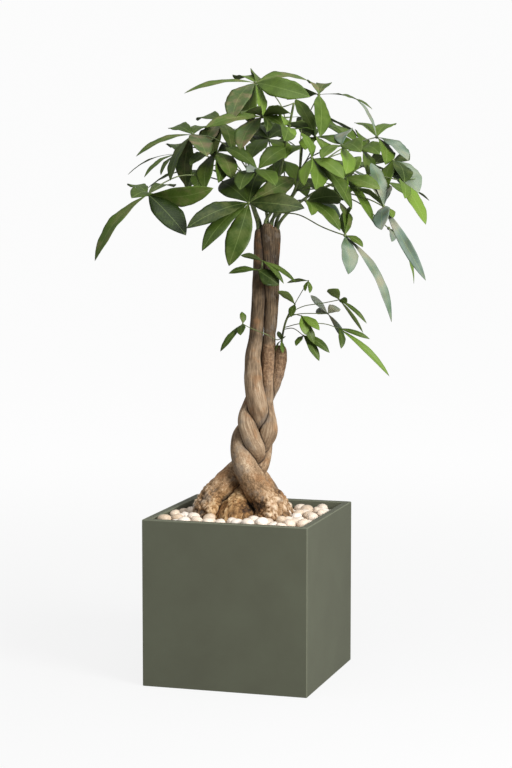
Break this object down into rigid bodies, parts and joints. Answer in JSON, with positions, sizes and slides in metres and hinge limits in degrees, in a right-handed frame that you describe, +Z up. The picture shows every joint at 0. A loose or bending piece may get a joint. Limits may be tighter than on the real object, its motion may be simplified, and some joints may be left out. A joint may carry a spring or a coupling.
{
  "type": "potted money tree",
  "caption": "Braided-trunk house plant with palm-shaped leaves, standing in a square planter topped with pebbles.",
  "frame": {"origin": "middle of the planter's flat underside, on the surface that it stands on", "axes": "+Z up the trunk, -Y out of the planter's front face, +X to the right as seen from the front"},
  "size_m": [0.7675, 0.7804, 1.4405],
  "materials": {
    "planter": "matte",
    "soil": "matte",
    "pebbles": "matte",
    "bark": "matte",
    "leaf": "satin"
  },
  "bodies": {
    "root": {"planter": "planter", "potting_soil": "soil", "pebbles": "pebbles", "stem_short": "bark", "stem_back": "bark", "stem_centre": "bark", "stem_left": "bark", "shoot_left_low": "leaf", "shoot_left_high": "leaf", "shoot_top": "leaf", "shoot_right_high": "leaf", "shoot_right_low": "leaf", "shoot_right_outer": "leaf", "shoot_far_left": "leaf", "shoot_far_right": "leaf", "sprout_stump": "leaf", "sprout_front": "leaf"}
  },
  "joints": []
}
